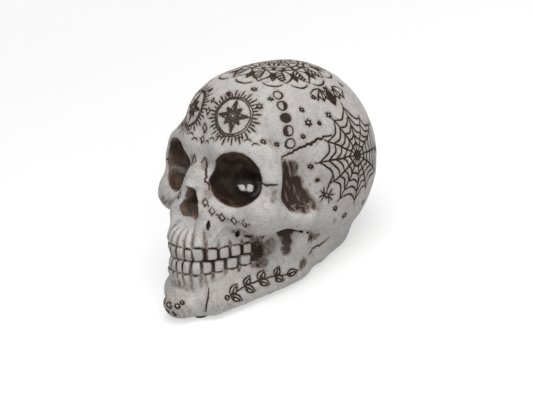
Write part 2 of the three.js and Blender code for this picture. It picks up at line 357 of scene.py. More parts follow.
def turned_place(points, middle, turn, tip=0):
    """Points as seen from a hollow's middle, along its own axes."""
    swing = math.radians(turn)
    dip = math.radians(tip)
    right = np.array([math.cos(swing), math.sin(swing), 0])
    level = np.array([-math.sin(swing), math.cos(swing), 0])
    upright = np.array([0, 0, 1])
    back = math.cos(dip) * level - math.sin(dip) * upright
    up = math.sin(dip) * level + math.cos(dip) * upright
    return (points - np.array(middle)) @ np.stack([right, back, up], -1)


def turned_lump(points, middle, halves, turn, tip=0):
    return lump(turned_place(points, middle, turn, tip), (0, 0, 0), halves)


def nose_outline(points):
    """How far points lie outside the nose opening as seen from the front."""
    flat = points * (1, 0, 1)
    return np.minimum(roll(flat, *NOSE_SLOPE), roll(flat, *NOSE_SILL))


def nose_distance(points):
    """The nose opening runs straight back to its floor."""
    return np.maximum(nose_outline(points), points[:, 1] - NOSE_FLOOR)


def mirrored_left(points):
    """Points with those of the skull's right half folded onto its left."""
    return np.abs(points * (1, 0, 0)) + points * (0, 1, 1)


def skull_distance(points, nose_open=True):
    """How far points of the level skull lie outside the clay and its hollows."""
    folded = mirrored_left(points)
    distance = np.full(len(points), FAR_AWAY)
    for shape, sizes, blend in CLAY:
        distance = soft_min(distance, shape(folded, *sizes), blend)
    for hollow, rim in HOLLOWS:
        distance = -soft_min(-distance, turned_lump(folded, *hollow), rim)
    for ridge, blend in RIDGES:
        distance = soft_min(distance, roll(folded, *ridge), blend)
    if nose_open:
        distance = -soft_min(-distance, nose_distance(folded), NOSE_RIM)
    return np.maximum(distance, UNDERSIDE - on_table(points)[:, 2] / MM)


# The skin is held where it faces as the clay does, and less towards the end of its reach.
SLOPE_STEP = 0.05
SAME_WAY = (0.3, 0.7)
FULL_HOLD = 0.7


def press_to_clay(mesh, reach, nose_open):
    """Draws the skin onto the smooth clay, where it faces the same way and lies within reach."""
    points = on_skull(read_points(mesh))
    in_socket = turned_lump(mirrored_left(points), *CAST_SOCKET) < SOCKET_SKIN
    reach = np.where(in_socket, SOCKET_SHIFT, reach)
    facing = read_points(mesh, "normal") @ TIP
    gap = skull_distance(points, nose_open)
    slope = np.stack([
        skull_distance(points + step, nose_open) - skull_distance(points - step, nose_open)
        for step in SLOPE_STEP * np.eye(3)
    ], -1)
    slope /= np.linalg.norm(slope, axis=1, keepdims=True) + TINY
    agree = smoothstep(*SAME_WAY, (slope * facing).sum(1))
    hold = agree * (1 - smoothstep(reach * FULL_HOLD, reach, np.abs(gap)))
    set_points(mesh, on_table(points - slope * (gap * hold)[:, None]))


# The castings start as welded copies of their solids, with the inner hollow closed off.
CASTING_GRID = 2.1 * MM
WELD_GAP = 0.01 * MM
HOLLOW_MARGIN = 1
HOLE_MARGIN = 0.5
CASTING_PASSES = 4

# How far the skin may move in each pressing, and whether the nose is open by then.
PRESSINGS = ((7, False), (4, False), (5, True), (3, True), (2, True))


def casting_copy(node, name):
    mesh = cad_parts[node].data.copy()
    mesh.materials.clear()
    piece = add_to_scene(name, mesh)
    with editing(piece):
        bpy.ops.mesh.select_all(action="SELECT")
        bpy.ops.mesh.remove_doubles(threshold=WELD_GAP)
    return piece


def close_hollow(piece):
    """Takes the skin of the inner hollow and of the pour hole away, and closes the rims left."""
    mesh = piece.data
    points = read_points(mesh)
    halves = np.array(HOLLOW_HALF) + HOLLOW_MARGIN
    egg = np.linalg.norm((on_skull(points) - HOLLOW_MIDDLE) / halves, axis=1)
    low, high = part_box("base_plug")
    across = points[:, :2] - np.array((low + high) / 2)[:2]
    in_hole = np.linalg.norm(across, axis=1) < (POUR_HOLE_RADIUS + HOLE_MARGIN) * MM
    above_rim = points[:, 2] > points[:, 2].min() + HOLE_MARGIN * MM
    select_parts(mesh, "vertices", (egg < 1) | (in_hole & above_rim))
    with editing(piece):
        bpy.ops.mesh.delete(type="VERT")
        bpy.ops.mesh.select_all(action="SELECT")
        bpy.ops.mesh.fill_holes(sides=0)


def draw_nose_forward(mesh):
    """Brings the rim and walls round the top of the nose forward, and leaves its floor."""
    points = on_skull(read_points(mesh))
    away = np.linalg.norm(points[:, [0, 2]] - np.array(NOSE_TOP), axis=1)
    rim = smoothstep(*NOSE_WALL, nose_outline(mirrored_left(points))) * (points[:, 1] < 0)
    pull = NOSE_PULL * (1 - smoothstep(NOSE_PULL_WIDTH / 4, NOSE_PULL_WIDTH, away)) * rim
    set_points(mesh, on_table(points - pull[:, None] * (0, 1, 0)))


def cast_skin(piece):
    """Trades the facets for an even skin, and presses it to the clay."""
    add_modifier(piece, "REMESH", mode="VOXEL", voxel_size=CASTING_GRID)
    relax(piece.data, CASTING_PASSES)
    draw_nose_forward(piece.data)
    for reach, nose_open in PRESSINGS:
        press_to_clay(piece.data, reach, nose_open)
        relax(piece.data, SETTLE_PASSES)


cranium = casting_copy("cranium_casting", "cranium")
close_hollow(cranium)
cast_skin(cranium)
jaw = casting_copy("jaw_casting", "jaw")
cast_skin(jaw)
castings = (cranium, jaw)


# The gums: roots swell the bone beyond each crown, and the bone behind the crowns is dark.
ARCH_LENGTH = sum(UPPER_PITCHES)
ARCH_STEPS = np.linspace(-ARCH_LENGTH, ARCH_LENGTH, 241)
UPPER_ROOTS = (16, 16, 19, 10, 7, 5, 4)
LOWER_ROOTS = (11, 11, 13, 8, 6, 4, 4)
ROOT_SWELL = (1.7, 1.6, 2.2, 1.3, 0.9, 0.6, 0.4)
ROOT_START = (-2, 1)
ROOT_TAPER = 0.45
ROOT_DIP = 0.35
GUM_BACK = 30
GUM_HEIGHTS = (-92, -24)
GUM_HALF_WIDTH = 36
GUM_FADE = (7, 12)
CROWN_SCALLOP = 1.6
CROWN_WASH = 1.2
CROWN_WASH_END = (0.2, 1.4)
CROWN_WASH_FADE = (4, 8)
ROOT_WASH = 0.85
ROOT_WASH_SIDE = (0.4, 0.95)
ROOT_WASH_START = 2
ROOT_WASH_END = 0.9


def arch_place(points):
    """How far along the tooth arch each point lies, and how far from it in plan."""
    seats = np.array([arch_seat(step)[:2] for step in ARCH_STEPS])
    away = np.linalg.norm(points[:, None, :2] - seats, axis=2)
    nearest = away.argmin(1)
    return ARCH_STEPS[nearest], away[np.arange(len(points)), nearest], seats[nearest, 1]


def tooth_place(along, pitches):
    """Which tooth from the middle stands at a place along the arch, and from -1 to 1 where across it."""
    edges = np.concatenate([[0], np.cumsum(pitches)])
    tooth = np.clip(np.searchsorted(edges, np.abs(along), side="right") - 1, 0, len(pitches) - 1)
    middle = (edges[tooth] + edges[tooth + 1]) / 2
    return tooth, (np.abs(along) - middle) / (edges[tooth + 1] - edges[tooth]) * 2


def gum_area(mesh):
    x, y, z = on_skull(read_points(mesh)).T
    low, high = GUM_HEIGHTS
    return (y < GUM_BACK) & (z > low) & (z < high) & (np.abs(x) < GUM_HALF_WIDTH)


def of_tooth(above, tooth, upper, lower):
    """Each point's value from the table of the row that it belongs to."""
    return np.where(above, np.array(upper)[tooth], np.array(lower)[tooth])


def shape_gums(piece):
    refine(piece, gum_area(piece.data))
    mesh = piece.data
    near = gum_area(mesh)
    points = on_skull(read_points(mesh))
    along, away, seat = arch_place(points[near])
    rise = points[near, 2] - bite_height(seat)
    above = rise > 0
    tooth, across = np.where(above, tooth_place(along, UPPER_PITCHES), tooth_place(along, LOWER_PITCHES))
    tooth = tooth.astype(int)
    past = np.abs(rise) - of_tooth(above, tooth, UPPER_CROWNS, LOWER_CROWNS)
    length = of_tooth(above, tooth, UPPER_ROOTS, LOWER_ROOTS)
    beside = 1 - smoothstep(*GUM_FADE, away)
    fade = smoothstep(*ROOT_START, past) * (1 - smoothstep(length * ROOT_TAPER, length, past)) * beside
    push = np.zeros(len(points))
    push[near] = np.array(ROOT_SWELL)[tooth] * fade * (np.cos(across * math.pi / 2) - ROOT_DIP)
    behind_crown = 1 - smoothstep(*CROWN_WASH_END, past + CROWN_SCALLOP * across ** 2)
    between_roots = fade * smoothstep(*ROOT_WASH_SIDE, np.abs(across))
    up_root = 1 - smoothstep(ROOT_WASH_START, length * ROOT_WASH_END, past)
    wash = np.zeros(len(points))
    wash[near] = np.maximum(
        CROWN_WASH * behind_crown * (1 - smoothstep(*CROWN_WASH_FADE, away)),
        ROOT_WASH * between_roots * up_root,
    )
    push_out(mesh, push)
    paint(mesh, "wash", wash)


for piece in castings:
    shape_gums(piece)


# The teeth: one blank of each kind, shaped, then copied along the arch.
CROWN_GAP = 0.95
BITE_GAP = 0.35
CROWN_DEPTH = 6.5
CROWN_LEAN = math.radians(9)
LEAN_BY_TOOTH = 1.7
LEAN_BY_SIDE = 3.1
CROWN_SIDE = (0.28, 0.48)
CROWN_NECK = (0.28, 0.5)
CROWN_EDGE_WASH_AND_SHADE = 0.95
SAME_PLACE = 0.01

# Which blank each tooth is copied from, from the middle to the back.
TOOTH_KINDS = (0, 0, 1, 2, 2, 2, 2)


def crown_blank(kind, bite, neck, fissure):
    """A crown one millimetre wide and high, biting end down, with its front to -y."""
    bpy.ops.object.select_all(action="DESELECT")
    bpy.ops.mesh.primitive_cube_add(size=1)
    blank = bpy.context.active_object
    blank.name = kind
    with editing(blank):
        bpy.ops.mesh.select_all(action="SELECT")
        bpy.ops.mesh.subdivide(number_cuts=1)
    for end, (width, depth) in ((-0.5, bite), (0.5, neck)):
        select_parts(blank.data, "vertices", np.abs(read_points(blank.data)[:, 2] - end) < SAME_PLACE)
        with editing(blank):
            bpy.ops.transform.resize(value=(width, depth, 1))
    if fissure:
        from_middle = np.linalg.norm(read_points(blank.data) - (0, 0, -0.5), axis=1)
        select_parts(blank.data, "vertices", from_middle < SAME_PLACE)
        with editing(blank):
            bpy.ops.transform.translate(value=(0, 0, fissure))
    add_modifier(blank, "SUBSURF", levels=2)
    points = read_points(blank.data)
    reach = np.abs(points).max(0)
    set_points(blank.data, points / (2 * reach))
    points = read_points(blank.data)
    # Crown sides and necks darkened: umber wash and painted shade where the crown turns away into the gaps.
    side = smoothstep(*CROWN_SIDE, np.abs(points[:, 0]))
    top = smoothstep(*CROWN_NECK, points[:, 2])
    paint(blank.data, "wash", CROWN_EDGE_WASH_AND_SHADE * np.maximum(side, top))
    return blank


def tooth_row(name, blanks, pitches, heights, proud, rising):
    """Crowns on both sides of the arch, each with its own lean, joined to one piece."""
    crowns = []
    start = 0
    for number, (pitch, height, out) in enumerate(zip(pitches, heights, proud)):
        blank = blanks[TOOTH_KINDS[number]]
        upright = Matrix.Identity(4) if rising else Matrix.Rotation(math.pi, 4, "Y")
        size = Matrix.Diagonal((pitch - CROWN_GAP, CROWN_DEPTH, height, 1))
        lift = BITE_GAP if rising else -BITE_GAP
        for side in LEFT_AND_RIGHT:
            x, y, turn = arch_seat(side * (start + pitch / 2))
            chance = noise.noise(Vector((number * LEAN_BY_TOOTH, side * LEAN_BY_SIDE, height)))
            lean = Matrix.Rotation(CROWN_LEAN * chance, 4, "Y")
            seat = Matrix.Translation((x, y, float(bite_height(y)) + lift)) @ Matrix.Rotation(turn, 4, "Z")
            stand = seat @ Matrix.Translation((0, -out, 0)) @ lean @ upright @ size
            crown = add_to_scene(name, blank.data.copy())
            crown.data.transform(stand @ Matrix.Translation((0, 0.5, 0.5)))
            set_points(crown.data, on_table(read_points(crown.data)))
            crowns.append(crown)
        start += pitch
    select_only(crowns[0])
    for crown in crowns:
        crown.select_set(True)
    bpy.ops.object.join()
    row = bpy.context.active_object
    row.name = name
    bpy.ops.object.shade_smooth()
    return row


crown_blanks = (
    crown_blank("incisor", (1.05, 0.6), (0.85, 0.95), 0),
    crown_blank("canine", (0.72, 0.6), (0.9, 1), 0),
    crown_blank("molar", (1.1, 1), (0.95, 1), 0.2),
)
upper_teeth = tooth_row("upper_teeth", crown_blanks, UPPER_PITCHES, UPPER_CROWNS, UPPER_PROUD, True)
lower_teeth = tooth_row("lower_teeth", crown_blanks, LOWER_PITCHES, LOWER_CROWNS, LOWER_PROUD, False)
for blank in crown_blanks:
    bpy.data.objects.remove(blank)


# How sheltered each point is, found by looking out from it in many directions, for the umber wash and the
# painted shade that both go into hollows.
LOOKS = 28
LOOK_REACH = 16 * MM
LOOK_START = 0.3 * MM
UPRIGHT = 0.9
CREASE_BEND = (0.015, 0.09)
RIDGE_BEND = (0.03, 0.12)


def surface_tree(pieces):
    points = []
    faces = []
    for piece in pieces:
        first = len(points)
        points.extend(vertex.co.copy() for vertex in piece.data.vertices)
        faces.extend([first + i for i in face.vertices] for face in piece.data.polygons)
    return BVHTree.FromPolygons(points, faces)


def look_directions():
    """Directions spread evenly over a half ball about z."""
    steps = np.arange(LOOKS)
    height = 1 - (steps + 0.5) / LOOKS
    around = steps * math.pi * (3 - math.sqrt(5))
    flat = np.sqrt(1 - height ** 2)
    return np.stack([flat * np.cos(around), flat * np.sin(around), height], -1)


def shelter(mesh, tree):
    """From 0 in the open to 1 deep in a hollow."""
    points = read_points(mesh)
    facing = read_points(mesh, "normal")
    helper = np.where(np.abs(facing[:, 2:]) < UPRIGHT, [[0, 0, 1]], [[1, 0, 0]])
    right = np.cross(helper, facing)
    right /= np.linalg.norm(right, axis=1, keepdims=True)
    axes = np.stack([right, np.cross(facing, right), facing], 1)
    looks = look_directions()
    weight = looks[:, 2] / looks[:, 2].sum()
    closed = np.zeros(len(points))
    for i, (start, own_axes) in enumerate(zip(points + facing * LOOK_START, axes)):
        for direction, share in zip(looks @ own_axes, weight):
            distance = tree.ray_cast(start, direction, LOOK_REACH)[3]
            if distance is not None:
                closed[i] += share * (1 - distance / LOOK_REACH) ** 0.5
    return closed


def fold(mesh):
    """How sharply the skin folds inwards, or outwards where negative, per millimetre."""
    ends = edge_ends(mesh)
    start, finish = ends
    points = read_points(mesh) / MM
    lift = ((neighbour_mean(ends, points) - points) * read_points(mesh, "normal")).sum(1)
    span = np.linalg.norm(points[start] - points[finish], axis=1) ** 2
    bend = lift / (np.bincount(start, weights=span) / np.bincount(start))
    for _ in range(SETTLE_PASSES):
        bend = neighbour_mean(ends, bend)
    return bend


skull_tree = surface_tree(castings)
for piece in castings:
    paint(piece.data, "shelter", shelter(piece.data, skull_tree))
    bend = fold(piece.data)
    # Creases get umber wash and painted shade.
    paint(piece.data, "crease", smoothstep(*CREASE_BEND, bend))
    # Ridges get dry-brushed paint and a painted highlight.
    paint(piece.data, "dry_brush_and_highlight", smoothstep(*RIDGE_BEND, -bend))


# Flat drawings, in millimetres: each stroke is a list of points.
def sampled(points, step):
    points = np.asarray(points, float)
    along = np.concatenate([[0], np.cumsum(np.linalg.norm(np.diff(points, axis=0), axis=1))])
    places = np.linspace(0, along[-1], max(int(along[-1] / step), 1) + 1)
    return np.stack([np.interp(places, along, column) for column in points.T], -1)


def turn(strokes, degrees):
    cos, sin = math.cos(math.radians(degrees)), math.sin(math.radians(degrees))
    return [[(x * cos - y * sin, x * sin + y * cos) for x, y in stroke] for stroke in strokes]


def shift(strokes, right, up):
    return [[(x + right, y + up) for x, y in stroke] for stroke in strokes]


def around(strokes, count, start=0):
    return [stroke for i in range(count) for stroke in turn(strokes, start + 360 * i / count)]


def arc(radius, first, last, middle=(0, 0)):
    steps = max(int(abs(last - first) / 6), 2)
    angles = np.radians(np.linspace(first, last, steps + 1))
    return [(middle[0] + radius * math.cos(a), middle[1] + radius * math.sin(a)) for a in angles]


def ring(radius):
    return [arc(radius, 0, 360)]


def dot():
    return [[(-0.15, 0), (0.15, 0)]]


def star(radius, tips=6, waist=0.5):
    corners = []
    for i in range(2 * tips + 1):
        reach = radius if i % 2 == 0 else radius * waist
        angle = math.pi * i / tips + math.pi / 2
        corners.append((reach * math.cos(angle), reach * math.sin(angle)))
    return [corners]


def petal(low, high, half_width, hatches):
    """A pointed petal standing on the middle, with a vein and short hatch lines on one side."""
    shares = np.linspace(0, 1, 13)
    rise = low + (high - low) * shares
    side = half_width * np.sin(math.pi * shares ** 0.8)
    left = list(zip(-side, rise))
    right = list(zip(side, rise))
    strokes = [left, right, [(0, low), (0, low + (high - low) * 0.75)]]
    for share in np.linspace(0.2, 0.7, hatches):
        reach = half_width * math.sin(math.pi * share ** 0.8)
        height = low + (high - low) * share
        strokes.append([(0, height), (reach * 0.9, height + reach * 0.5)])
    return strokes


def lozenge(half_width, half_height):
    return [[(0, half_height), (half_width, 0), (0, -half_height), (-half_width, 0), (0, half_height)]]


def filled_moon(radius, hollow):
    """A moon's dark part, shaded with close lines: its edge and a curve hollowed by that share."""
    strokes = []
    for height in np.arange(-radius + 0.5, radius, 0.95):
        half = math.sqrt(radius ** 2 - height ** 2)
        strokes.append([(-half, height), (half * hollow, height)])
    return strokes + ring(radius)


def rosette():
    strokes = ring(2.4) + ring(4.4)
    strokes += around(petal(5.4, 14, 3.2, 0), 8)
    strokes += ring(15.4) + ring(19.2)
    strokes += around(shift(lozenge(1, 1.4), 0, 17.3), 16)
    strokes += around(petal(20, 35, 5.6, 4), 12)
    strokes += around(petal(24, 33, 1.7, 0), 12, 15)
    strokes += around([arc(8, 40, 140, (0, 31))], 12, 15)
    return strokes


def radiant_star():
    strokes = ring(1.4)
    for reach, waist, lean in ((10.5, 2.4, 0), (7.2, 2.6, 45)):
        point = [[(-waist, waist), (0, reach), (waist, waist)], [(0, 2), (0, reach)]]
        for height in np.arange(2.6, reach - 1, 0.8):
            point.append([(0, height), (waist * (reach - height) / (reach - waist), height)])
        strokes += around(point, 4, lean)
    strokes += ring(11.8) + ring(13.2)
    strokes += around([[(0, 13.8), (0, 16.2)]], 20)
    strokes += around([[(0, 13.8), (0, 18.6)]], 20, 9)
    return strokes


def moons():
    strokes = []
    for i, hollow in enumerate((-0.8, -0.3, 1, -0.3, -0.8)):
        phase = filled_moon(3.1, hollow)
        strokes += shift(turn(phase, 180) if i > 2 else phase, 0, (i - 2) * 8.4)
    return strokes


def web(radius, spokes, turns):
    strokes = []
    tips = []
    for i in range(spokes):
        reach = radius * (1 + 0.12 * math.sin(2.4 * i))
        tips.append((reach, 360 * i / spokes + 5 * math.sin(3.1 * i)))
    for reach, angle in tips:
        strokes += turn([[(0.8, 0), (reach, 0)]], angle)
    for number in range(1, turns + 1):
        share = (number / (turns + 0.4)) ** 1.2
        for (near, first), (far, last) in zip(tips, tips[1:] + tips[:1]):
            last += 360 if last < first else 0
            thread = []
            for t in np.linspace(0, 1, 7):
                sag = 1 - 0.16 * math.sin(math.pi * t)
                reach = share * (near + (far - near) * t) * sag
                angle = math.radians(first + (last - first) * t)
                thread.append((reach * math.cos(angle), reach * math.sin(angle)))
            strokes.append(thread)
    return strokes


def sprig(length, pairs):
    """A curved stem along the middle, with pairs of veined leaves, a bud and a berry."""
    bow = length * 0.08
    stem = [(x, bow * math.cos(math.pi * x / length)) for x in np.linspace(-length / 2, length / 2, 21)]
    strokes = [stem]
    for share in np.linspace(0.08, 0.8, pairs):
        x, y = stem[int(share * 20)]
        size = 9 - 2.5 * share
        for lean in (-50, -130):
            strokes += shift(turn(petal(0.5, size, 2.2, 2), lean), x, y)
    strokes += shift(turn(petal(0, 8.5, 2.2, 2), -90), *stem[-1])
    strokes += shift(ring(1.4), *stem[0])
    return strokes


# The knee and tip of each of a spider's legs on one side.
SPIDER_LEGS = (
    ((2.2, 2.2), (2.8, 4.2)), ((2.8, 1), (4.6, 1.8)), ((2.8, -0.8), (4.6, -2.2)), ((2.2, -2), (2.9, -4.6)),
)


def spider(thread):
    """A spider at the end of its thread, seen from above."""
    strokes = [[(0, 1.5), (0, thread)]] + ring(1.1) + shift(ring(0.5), 0, -1.6)
    for side in LEFT_AND_RIGHT:
        for knee, tip in SPIDER_LEGS:
            hip = (0.9, 0.3 * knee[1])
            strokes.append([(side * x, y) for x, y in (hip, knee, tip)])
    return strokes


def bat(span):
    """Spread wings with ribs, a scalloped lower edge and a shaded body."""
    head = [(0, 0.13), (0.035, 0.22), (0.06, 0.13)]
    arm = [(0.06, 0.13), (0.13, 0.1), (0.2, 0.2), (0.36, 0.2), (0.5, 0.1)]
    tips = [(0.5, 0.1), (0.4, -0.09), (0.24, -0.12), (0.08, -0.14)]
    scallops = [(0.43, 0.03), (0.31, 0), (0.15, -0.02)]
    wrist = arm[2]
    drawing = [head, arm, [tips[-1], (0, -0.25)]]
    for one, between, other in zip(tips, scallops, tips[1:]):
        drawing += [[one, between, other], [wrist, other]]
    for x in (0.015, 0.045, 0.075):
        drawing.append([(x, 0.15 - x), (x, x - 0.22)])
    return [[(side * x * span, y * span) for x, y in line] for line in drawing for side in LEFT_AND_RIGHT]


# Carving: drawings are wrapped on the skull as on a ball, and lines given in skull millimetres are laid on
# it. Lines thin out towards their ends, and waver as a carver's hand does.
SAMPLE_STEP = 0.3
LINE_ENDS = (0.12, 0.88)
HAND_WAVER = 0.45
WAVER_GRAIN = 0.22
WAVER_LAYER = 3.7
JAG_GRAIN = 0.35
RAY_START = 30
RAY_REACH = 60 * MM
CARVER_SEED = 7
carved = []
raised = []

# Without a seed, the vector noise that makes lines waver differs from run to run.
noise.seed_set(CARVER_SEED)


def unsteady(points):
    waver = [noise.noise_vector(Vector((x * WAVER_GRAIN, y * WAVER_GRAIN, WAVER_LAYER))) for x, y in points]
    return points + HAND_WAVER * np.array(waver)[:, :2]


def keep_line(into, points, width, depth, mirrored):
    ease = np.sin(math.pi * np.clip(np.linspace(0, 1, len(points)), *LINE_ENDS)) ** 0.5
    for side in LEFT_AND_RIGHT if mirrored else (1,):
        into.append((points * (side, 1, 1), width * ease, depth * ease))


def stamp(strokes, at, up=(0, 0, 1), bend=62, width=1.0, depth=0.6, mirrored=True):
    """Wraps a drawing round a place on the skull, bent to that radius."""
    place, facing = skull_tree.find_nearest(Vector(on_table(at)))[:2]
    facing = np.array(facing) @ TIP
    right = np.cross(up, facing)
    right /= np.linalg.norm(right)
    top = np.cross(facing, right)
    core = on_skull(place) - facing * bend
    for stroke in strokes:
        hits = []
        for x, y in unsteady(sampled(stroke, SAMPLE_STEP)):
            reach = math.hypot(x, y)
            swing = reach / bend
            aside = (x * right + y * top) / max(reach, TINY)
            heading = facing * math.cos(swing) + aside * math.sin(swing)
            start = on_table(core + heading * (bend + RAY_START))
            hit = skull_tree.ray_cast(Vector(start), Vector(-heading @ TIP.T), RAY_REACH)[0]
            if hit is not None:
                hits.append(on_skull(hit))
        if len(hits) > 1:
            keep_line(carved, np.array(hits), width, depth, mirrored)


def lay(into, points, width, depth, jag=0):
    """Lays a line on both sides of the skull, through places near its surface."""
    path = sampled(points, SAMPLE_STEP)
    if jag:
        path = path + jag * np.array([noise.noise_vector(Vector(point * JAG_GRAIN)) for point in path])
    hits = [on_skull(skull_tree.find_nearest(Vector(point))[0]) for point in on_table(path)]
    keep_line(into, np.array(hits), width, depth, True)


SCATTERED_STARS = (
    ((34, 16, 48), 2.2), ((28, 11, 19), 1.5), ((54, 42, 6), 1.8), ((24, 20, 60), 1.9),
    ((50, 44, 34), 2.6), ((52, 38, 26), 1.6), ((47, 42, 43), 1.8), ((54, 52, 34), 1.5),
    ((50, 112, 8), 2.4), ((52, 62, 38), 2.2), ((54, 74, -32), 2.2), ((38, 15, 22), 2.0),
    ((10, 8, 56), 2.0), ((44, 56, 50), 1.6), ((30, 118, 40), 2.2), ((56, 62, -24), 1.8),
    ((44, 22, 22), 1.5), ((37, 24, 54), 1.6), ((56, 47, -4), 1.4), ((34, 92, 54), 2.0),
    ((52, 96, -28), 2.0),
)
UNDER_EYE = (
    (12, -9, -17), (18, -9, -21.5), (25.5, -8, -24), (33, -5, -25.5), (40.5, -1, -25.5), (47, 4, -24),
)
BROW = ((7, -1, 19), (15, 0, 23), (24, 4, 24), (33, 8, 22), (41, 12, 16))

# Seams, cracks and small holes, and the ridges of the cheek and jaw: each line with its width, its depth or
# height, and how jagged it is.
CRACKS = (
    ([(49, 22, 12.6), (50.7, 35.5, 18.7), (53.7, 48.3, 22.5), (54.6, 60, 25)], 1.4, 0.8, 1.6),
    ([(46.5, 7, -1), (56, 12.5, -0.8)], 1.2, 0.8, 0.5),
    ([(48, 48, -54), (43.5, 61, -52), (45, 68.6, -47.6)], 0.9, 0.5, 1.2),
    ([(3, -7, 8), (5, -6, 11), (7.8, -6, 6.8), (9, -7, -2.6), (13, -7.5, -8.4)], 1.1, 0.7, 0.8),
    ([(28, 10, -39), (31, 15, -40.5)], 1.4, 0.8, 0.6),
    ([(25, 4.6, -37.8), (25.6, 5.4, -36.4)], 4.4, 2.2),
    ([(19.9, -14.5, -27), (19.2, -14.5, -31.5)], 2.6, 1.8),
    ([(49, 25, -33), (50, 36, -36), (48, 47, -39)], 1.6, 0.8, 0.8),
    ([(18.6, -17, -63), (21.6, -17.5, -69), (22.8, -19, -76), (21.4, -20, -86)], 0.9, 0.5),
    ([(0, 132, 30), (18, 126, 18), (34, 116, 2), (45, 106, -16)], 0.9, 0.5, 3),
)
RAISED_LINES = (
    ([(17.8, -14, -49), (20.9, -12, -39), (24.5, -7, -31), (41.7, -3, -24.6), (51.8, 2, -25)], 1.6, 0.5),
    ([(17, -15.5, -62), (20, -16, -68), (21.4, -18.5, -75), (20, -20, -86)], 1.8, 0.8),
)


def carve_ornament():
    stamp(rosette(), (0, 60, 66), up=(0, -1, 0), width=1.2, mirrored=False)
    stamp(radiant_star(), (19, 8, 38))
    stamp(moons(), (42, 30.5, 37), up=(-0.5, 0.1, 0.85))
    stamp(web(32, 12, 6), (58.5, 80, 9), width=1.1)
    stamp(bat(31), (41, 71, 47), up=(-0.6, 0, 0.8))
    stamp(spider(13), (56.5, 54, -14), up=(0, 0.3, 1), width=0.8)
    stamp(bat(30), (0, 130, 22), mirrored=False)
    stamp(bat(22), (28, 124, 0))
    stamp(sprig(42, 4), (36, 12, -71), up=(0, -0.3, 1), bend=200, width=0.9)
    for height, size in ((20, 2.6), (28, 3.4), (38, 2.6), (46, 2)):
        stamp(lozenge(size * 0.6, size), (0, 2 + height * 0.1, height), mirrored=False)
    for place, size in SCATTERED_STARS:
        stamp(star(size), place, width=0.9)
    for one, other in zip(UNDER_EYE, UNDER_EYE[1:]):
        middle = np.add(one, other) / 2
        stamp(lozenge(2, 2.7), one, bend=40, width=0.8)
        stamp(dot(), middle, bend=40, width=1.4)
    for one, other in zip(BROW, BROW[1:]):
        for share in (0.0, 0.5):
            place = np.add(one, np.subtract(other, one) * share)
            stamp([arc(2.1, 20, 160)], place, bend=40, width=0.8)
    for x, z, size in ((0, -83, 3), (7.5, -82, 2.2), (4, -89, 1.8), (12, -76, 1.6)):
        stamp(star(size, 8, 0.55), (x, -32, z), bend=100, width=0.9, mirrored=x > 0)


carve_ornament()
for crack in CRACKS:
    lay(carved, *crack)
for line in RAISED_LINES:
    lay(raised, *line)


# Lines cut or raise the skin, after the skin near them is made fine enough to hold them.
SHOULDER = 0.35
INK_EDGE = (-0.15, 0.4)
HALO = 3
FINE_MARGINS = (1.2, 0.35)
SOCKET_RIM = 0.6
RIM_SPREADS = (3, 1.5)

# The low, soft lumps that tools and fingers leave in clay: their grain, layer of noise and height.
HAND_MARKS = ((0.11, 0, 0.3), (0.32, 40, 0.16))


def line_tree(lines):
    places, width, depth = (np.concatenate(column) for column in zip(*lines))
    tree = kdtree.KDTree(len(places))
    for i, place in enumerate(places):
        tree.insert(place, i)
    tree.balance()
    return tree, width, depth


def nearest_line(mesh, line):
    """How far each point lies from the nearest line, and that line's width and depth there."""
    tree, width, depth = line
    found = [tree.find(point)[1:] for point in on_skull(read_points(mesh))]
    index = np.array([item[0] for item in found])
    return np.array([item[1] for item in found]), width[index], depth[index]


def cut_lines(piece, line, sign):
    """Cuts the lines in or builds them up, and gives the wash that stays in them and round them."""
    mesh = piece.data
    gap, width, depth = nearest_line(mesh, line)
    share = np.clip(gap / (width / 2 + SHOULDER), 0, 1)
    push_out(mesh, sign * depth * (1 - share ** 2) ** 2)
    inner, outer = INK_EDGE
    return 1 - smoothstep(width / 2 + inner, width / 2 + outer, gap), 1 - smoothstep(0, HALO, gap)


def socket_depth(points):
    folded = mirrored_left(points)
    return np.minimum(turned_lump(folded, *SOCKET), nose_distance(folded))


def hand_marks(mesh):
    points = on_skull(read_points(mesh))
    push_out(mesh, sum(height * noise_at(points, grain, layer) for grain, layer, height in HAND_MARKS))


for piece in castings:
    hand_marks(piece.data)
for spread in RIM_SPREADS:
    refine(cranium, np.abs(socket_depth(on_skull(read_points(cranium.data))) - SOCKET_RIM) < spread)
carved_line = line_tree(carved)
raised_line = line_tree(raised)
for piece in castings:
    for margin in FINE_MARGINS:
        close = np.zeros(len(piece.data.vertices), bool)
        for line in (carved_line, raised_line):
            gap, width, _ = nearest_line(piece.data, line)
            close |= gap < width / 2 + margin
        refine(piece, close)
    cut_lines(piece, raised_line, 1)
    ink, halo = cut_lines(piece, carved_line, -1)
    paint(piece.data, "ink", ink)
    paint(piece.data, "halo", halo)


